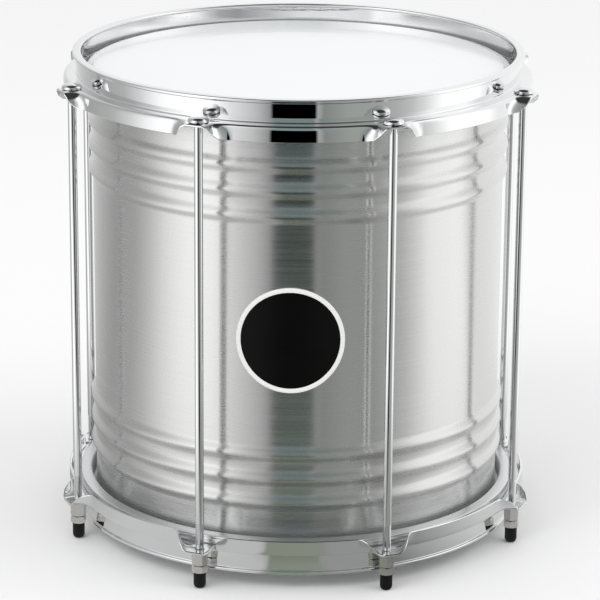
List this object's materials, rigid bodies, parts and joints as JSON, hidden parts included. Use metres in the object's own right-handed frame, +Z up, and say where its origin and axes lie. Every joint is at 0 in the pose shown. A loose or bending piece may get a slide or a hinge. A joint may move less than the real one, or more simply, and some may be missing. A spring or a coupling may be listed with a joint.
{
  "type": "repinique",
  "caption": "Two-headed samba drum: beaded aluminium shell, plastic heads held by pressed chrome hoops, full-length tension rods with locking nuts, standing on rubber tips.",
  "frame": {"origin": "on the floor under the middle of the drum, at the level of the rubber tips' lower ends", "axes": "+Z up along the drum's axis to the playing head, -Y to the front that the picture shows, +X to the viewer's right"},
  "size_m": [0.3392, 0.3392, 0.3532],
  "materials": {
    "shell_aluminium": "spun, with a fine grain running round the shell",
    "flesh_hoop_aluminium": "plain mill finish",
    "head_film": "white, smooth and glossy",
    "hoop_chrome": "polished plating over pressed steel",
    "rod_chrome": "polished plating",
    "nut_nickel": "satin nickel plating",
    "tip_rubber": "matt black moulded rubber"
  },
  "bodies": {
    "drum": {"shell": "shell_aluminium", "top_head": "head_film", "bottom_head": "head_film", "top_flesh_hoop": "flesh_hoop_aluminium", "bottom_flesh_hoop": "flesh_hoop_aluminium", "top_hoop": "hoop_chrome", "bottom_hoop": "hoop_chrome", "tension_rod_1": "rod_chrome", "tension_rod_2": "rod_chrome", "tension_rod_3": "rod_chrome", "tension_rod_4": "rod_chrome", "tension_rod_5": "rod_chrome", "tension_rod_6": "rod_chrome", "tension_rod_7": "rod_chrome", "tension_rod_8": "rod_chrome", "rubber_tip_1": "tip_rubber", "rubber_tip_2": "tip_rubber", "rubber_tip_3": "tip_rubber", "rubber_tip_4": "tip_rubber", "rubber_tip_5": "tip_rubber", "rubber_tip_6": "tip_rubber", "rubber_tip_7": "tip_rubber", "rubber_tip_8": "tip_rubber"},
    "tension_nut_1_body": {"tension_nut_1": "nut_nickel"},
    "tension_nut_2_body": {"tension_nut_2": "nut_nickel"},
    "tension_nut_3_body": {"tension_nut_3": "nut_nickel"},
    "tension_nut_4_body": {"tension_nut_4": "nut_nickel"},
    "tension_nut_5_body": {"tension_nut_5": "nut_nickel"},
    "tension_nut_6_body": {"tension_nut_6": "nut_nickel"},
    "tension_nut_7_body": {"tension_nut_7": "nut_nickel"},
    "tension_nut_8_body": {"tension_nut_8": "nut_nickel"},
    "lock_nut_1_body": {"lock_nut_1": "nut_nickel"},
    "lock_nut_2_body": {"lock_nut_2": "nut_nickel"},
    "lock_nut_3_body": {"lock_nut_3": "nut_nickel"},
    "lock_nut_4_body": {"lock_nut_4": "nut_nickel"},
    "lock_nut_5_body": {"lock_nut_5": "nut_nickel"},
    "lock_nut_6_body": {"lock_nut_6": "nut_nickel"},
    "lock_nut_7_body": {"lock_nut_7": "nut_nickel"},
    "lock_nut_8_body": {"lock_nut_8": "nut_nickel"}
  },
  "joints": [
    {"name": "tension_nut_1_turn", "type": "hinge", "parent": "drum", "child": "tension_nut_1_body", "pos_m": [0.06559, -0.15835, 0.0223], "axis": [0, 0, 1], "range_deg": [-270, 990]},
    {"name": "tension_nut_2_turn", "type": "hinge", "parent": "drum", "child": "tension_nut_2_body", "pos_m": [0.15835, -0.06559, 0.0223], "axis": [0, 0, 1], "range_deg": [-270, 990]},
    {"name": "tension_nut_3_turn", "type": "hinge", "parent": "drum", "child": "tension_nut_3_body", "pos_m": [0.15835, 0.06559, 0.0223], "axis": [0, 0, 1], "range_deg": [-270, 990]},
    {"name": "tension_nut_4_turn", "type": "hinge", "parent": "drum", "child": "tension_nut_4_body", "pos_m": [0.06559, 0.15835, 0.0223], "axis": [0, 0, 1], "range_deg": [-270, 990]},
    {"name": "tension_nut_5_turn", "type": "hinge", "parent": "drum", "child": "tension_nut_5_body", "pos_m": [-0.06559, 0.15835, 0.0223], "axis": [0, 0, 1], "range_deg": [-270, 990]},
    {"name": "tension_nut_6_turn", "type": "hinge", "parent": "drum", "child": "tension_nut_6_body", "pos_m": [-0.15835, 0.06559, 0.0223], "axis": [0, 0, 1], "range_deg": [-270, 990]},
    {"name": "tension_nut_7_turn", "type": "hinge", "parent": "drum", "child": "tension_nut_7_body", "pos_m": [-0.15835, -0.06559, 0.0223], "axis": [0, 0, 1], "range_deg": [-270, 990]},
    {"name": "tension_nut_8_turn", "type": "hinge", "parent": "drum", "child": "tension_nut_8_body", "pos_m": [-0.06559, -0.15835, 0.0223], "axis": [0, 0, 1], "range_deg": [-270, 990]},
    {"name": "lock_nut_1_turn", "type": "hinge", "parent": "drum", "child": "lock_nut_1_body", "pos_m": [0.06559, -0.15835, 0.0145], "axis": [0, 0, 1], "range_deg": [-270, 990]},
    {"name": "lock_nut_2_turn", "type": "hinge", "parent": "drum", "child": "lock_nut_2_body", "pos_m": [0.15835, -0.06559, 0.0145], "axis": [0, 0, 1], "range_deg": [-270, 990]},
    {"name": "lock_nut_3_turn", "type": "hinge", "parent": "drum", "child": "lock_nut_3_body", "pos_m": [0.15835, 0.06559, 0.0145], "axis": [0, 0, 1], "range_deg": [-270, 990]},
    {"name": "lock_nut_4_turn", "type": "hinge", "parent": "drum", "child": "lock_nut_4_body", "pos_m": [0.06559, 0.15835, 0.0145], "axis": [0, 0, 1], "range_deg": [-270, 990]},
    {"name": "lock_nut_5_turn", "type": "hinge", "parent": "drum", "child": "lock_nut_5_body", "pos_m": [-0.06559, 0.15835, 0.0145], "axis": [0, 0, 1], "range_deg": [-270, 990]},
    {"name": "lock_nut_6_turn", "type": "hinge", "parent": "drum", "child": "lock_nut_6_body", "pos_m": [-0.15835, 0.06559, 0.0145], "axis": [0, 0, 1], "range_deg": [-270, 990]},
    {"name": "lock_nut_7_turn", "type": "hinge", "parent": "drum", "child": "lock_nut_7_body", "pos_m": [-0.15835, -0.06559, 0.0145], "axis": [0, 0, 1], "range_deg": [-270, 990]},
    {"name": "lock_nut_8_turn", "type": "hinge", "parent": "drum", "child": "lock_nut_8_body", "pos_m": [-0.06559, -0.15835, 0.0145], "axis": [0, 0, 1], "range_deg": [-270, 990]}
  ]
}
